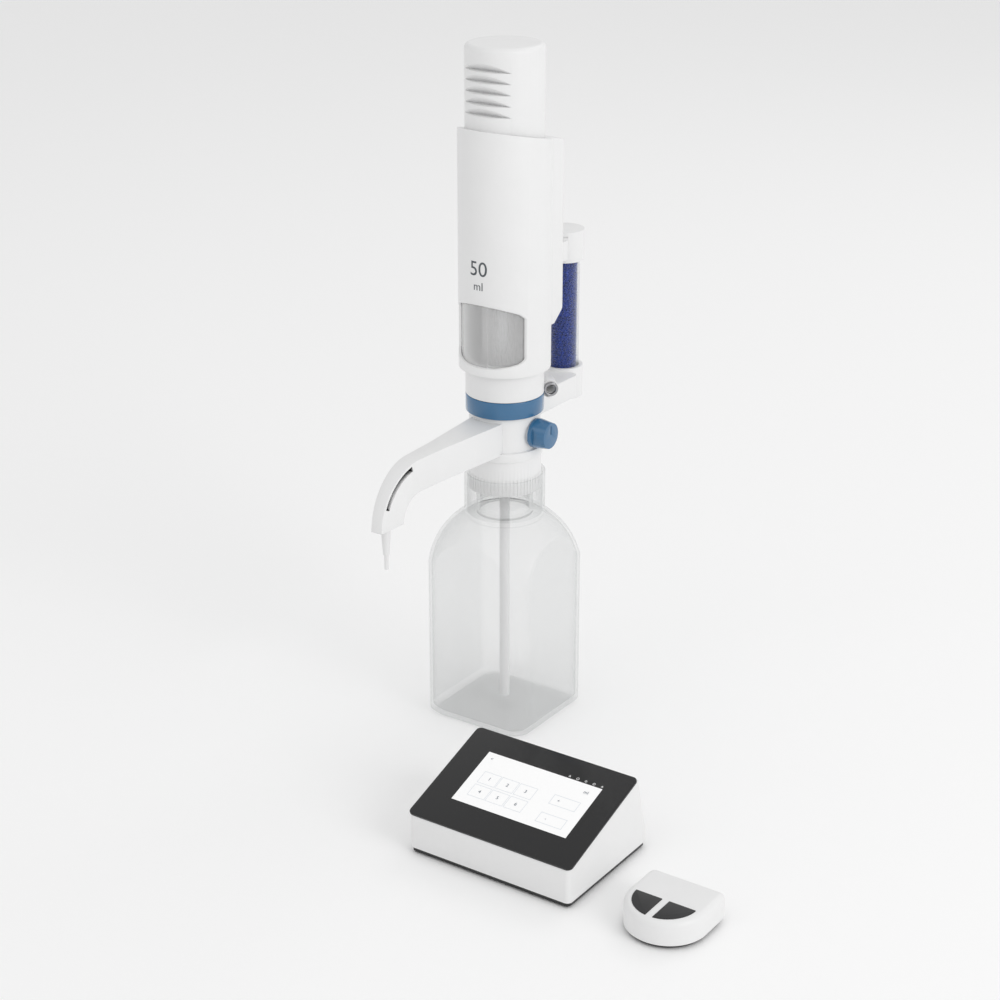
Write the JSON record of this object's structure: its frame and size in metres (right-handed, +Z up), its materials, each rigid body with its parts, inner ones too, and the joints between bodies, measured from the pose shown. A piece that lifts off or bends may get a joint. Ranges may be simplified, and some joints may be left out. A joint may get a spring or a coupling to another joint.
{
  "type": "electronic bottle top dispenser",
  "caption": "Motor-driven bottle top dispenser: cylindrical head with window and hooked discharge arm on a square clear bottle, drying tube behind, sloped touch controller and hand remote.",
  "frame": {"origin": "Where the axis of the bottle and dispenser head meets the surface that the bottle, controller and remote stand on", "axes": "Z up along the bottle's axis, -Y to the front where the discharge arm points, +X to the side with the valve knob, the controller and the remote"},
  "size_m": [0.3475, 0.3295, 0.533],
  "materials": {
    "clear_glass": "clear smooth glass",
    "clear_tube": "clear polymer tube",
    "white_case": "fine satin white moulding",
    "white_polymer": "plain fluoropolymer",
    "blue_plastic": "semi-gloss blue moulding",
    "blue_ceramic": "polished ceramic",
    "blue_granules": "packed granules",
    "grey_plastic": "dark grey satin",
    "black_plastic": "black satin",
    "black_rubber": "soft rubber",
    "black_metal": "black painted motor body",
    "dark_panel": "dark polished touch panel",
    "green_board": "solder-masked board",
    "aluminium": "turned aluminium",
    "steel": "ground steel",
    "chrome": "bright plated",
    "brass": "turned brass"
  },
  "bodies": {
    "bottle": {"bottle": "clear_glass", "neck_gasket": "white_polymer"},
    "thread_ring": {"thread_ring": "white_case"},
    "head": {"valve_block": "white_case", "discharge_arm": "white_case", "discharge_tube": "clear_tube", "nozzle_tip": "clear_tube", "filling_tube": "clear_tube", "inlet_valve_seat": "white_polymer", "discharge_valve_seat": "white_polymer", "cylinder_gasket": "white_polymer", "glass_cylinder": "clear_glass", "lower_collar": "white_case", "window_sleeve": "clear_tube", "main_shell": "white_case", "motor_cover": "white_case", "lower_plate": "aluminium", "bearing_plate": "aluminium", "motor_plate": "aluminium", "guide_rods": "steel", "tie_rods": "steel", "screw_bearing": "steel", "stepper_motor": "black_metal", "motor_screws": "steel", "sensor_board": "green_board", "drying_bracket": "white_case", "drying_tube": "clear_tube", "desiccant": "blue_granules", "drying_filters": "white_polymer", "drying_cap": "white_case", "vent_port": "chrome"},
    "valve_knob": {"valve_plug": "white_polymer", "recirculation_knob": "blue_plastic"},
    "locking_ring": {"locking_ring": "blue_plastic"},
    "drive_screw": {"lead_screw": "steel", "shaft_coupling": "aluminium", "motor_shaft": "steel"},
    "piston": {"carriage": "grey_plastic", "drive_nut": "brass", "guide_bushes": "brass", "piston_rod": "steel", "piston_head": "white_polymer", "piston_seal": "white_polymer"},
    "inlet_ball": {"inlet_ball": "blue_ceramic"},
    "discharge_ball": {"discharge_ball": "blue_ceramic"},
    "controller": {"controller_base": "black_plastic", "controller_casing": "white_case", "touch_glass": "dark_panel", "display_module": "grey_plastic", "main_board": "green_board", "rear_sockets": "black_plastic", "controller_feet": "black_rubber", "controller_screws": "steel"},
    "power_button": {"power_button": "black_plastic"},
    "remote": {"remote_base": "black_plastic", "remote_casing": "white_case", "remote_board": "green_board", "remote_feet": "black_rubber"},
    "left_button": {"left_button": "grey_plastic"},
    "right_button": {"right_button": "grey_plastic"}
  },
  "joints": [
    {"name": "thread_ring_turn", "type": "hinge", "parent": "bottle", "child": "thread_ring", "pos_m": [0, 0, 0.206], "axis": [0, 0, 1], "range_deg": [0, 90]},
    {"name": "head_swivel", "type": "hinge", "parent": "bottle", "child": "head", "pos_m": [0, 0, 0.22], "axis": [0, 0, 1], "continuous": true},
    {"name": "valve_knob_turn", "type": "hinge", "parent": "head", "child": "valve_knob", "pos_m": [0.03, 0, 0.2403], "axis": [1, 0, 0], "range_deg": [0, 90]},
    {"name": "locking_ring_turn", "type": "hinge", "parent": "head", "child": "locking_ring", "pos_m": [0, 0, 0.2615], "axis": [0, 0, 1], "range_deg": [0, 60]},
    {"name": "piston_stroke", "type": "slide", "parent": "head", "child": "piston", "axis": [0, 0, 1], "range_m": [0, 0.07]},
    {"name": "screw_turn", "type": "hinge", "parent": "head", "child": "drive_screw", "pos_m": [0, 0, 0.45], "axis": [0, 0, 1], "range_deg": [0, 3150]},
    {"name": "inlet_ball_lift", "type": "slide", "parent": "head", "child": "inlet_ball", "axis": [0, 0, 1], "range_m": [0, 0.002]},
    {"name": "discharge_ball_lift", "type": "slide", "parent": "head", "child": "discharge_ball", "axis": [0, -1, 0], "range_m": [0, 0.002], "stiffness_N_per_m": 5},
    {"name": "controller_lift", "type": "slide", "parent": "bottle", "child": "controller", "axis": [0, 0, 1], "range_m": [0, 0.05]},
    {"name": "power_button_press", "type": "slide", "parent": "controller", "child": "power_button", "axis": [0, -0.9739, -0.227], "range_m": [0, 0.002], "stiffness_N_per_m": 300},
    {"name": "remote_lift", "type": "slide", "parent": "bottle", "child": "remote", "axis": [0, 0, 1], "range_m": [0, 0.05]},
    {"name": "left_button_press", "type": "slide", "parent": "remote", "child": "left_button", "axis": [0, 0, -1], "range_m": [0, 0.0012], "stiffness_N_per_m": 300},
    {"name": "right_button_press", "type": "slide", "parent": "remote", "child": "right_button", "axis": [0, 0, -1], "range_m": [0, 0.0012], "stiffness_N_per_m": 300}
  ],
  "couplings": [
    {"joint": "screw_turn", "follows": "piston_stroke", "rad_per_m": 785.4}
  ]
}
